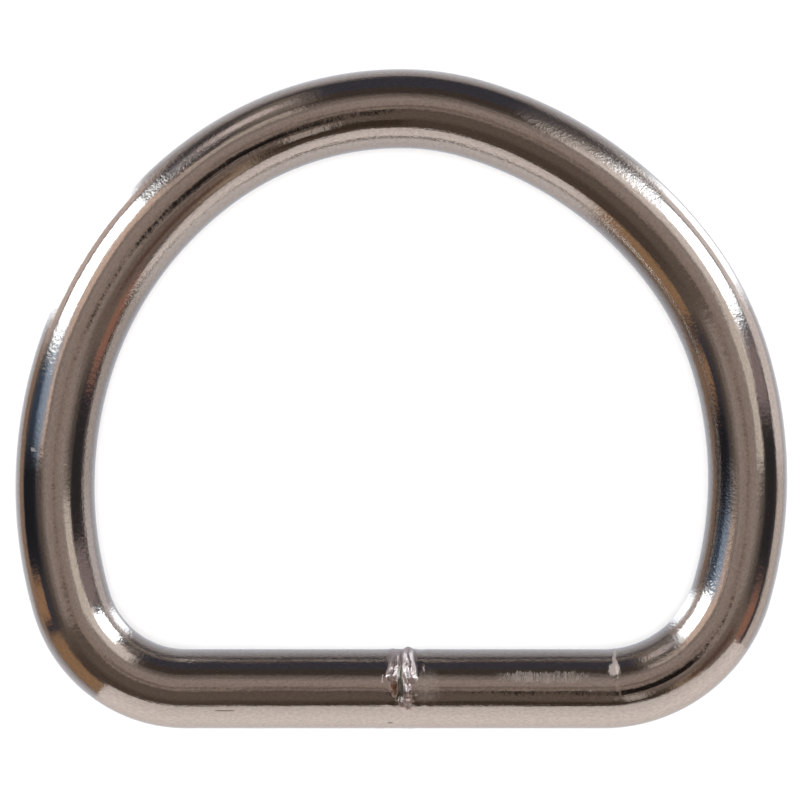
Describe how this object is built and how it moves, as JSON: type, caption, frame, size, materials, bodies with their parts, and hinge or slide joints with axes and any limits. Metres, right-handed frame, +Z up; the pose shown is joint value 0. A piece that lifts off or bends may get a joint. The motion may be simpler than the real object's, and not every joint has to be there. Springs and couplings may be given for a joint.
{
  "type": "d ring",
  "caption": "D ring of bent round rod with a butt-welded straight bar for a strap and a rounded bow that a hook or lead clips to.",
  "frame": {"origin": "under the middle of the ring's outer box, on the surface that it lies on", "axes": "+X along the straight bar, +Y from the bar towards the top of the bow, +Z up through the rod's thickness, on the side that shows the weld"},
  "size_m": [0.0487, 0.0416, 0.0052],
  "materials": {
    "nickel_plate": "bright nickel plating on drawn steel rod, with fine drawing marks, a rough weld and a file mark"
  },
  "bodies": {
    "root": {"d_ring": "nickel_plate"}
  },
  "joints": []
}
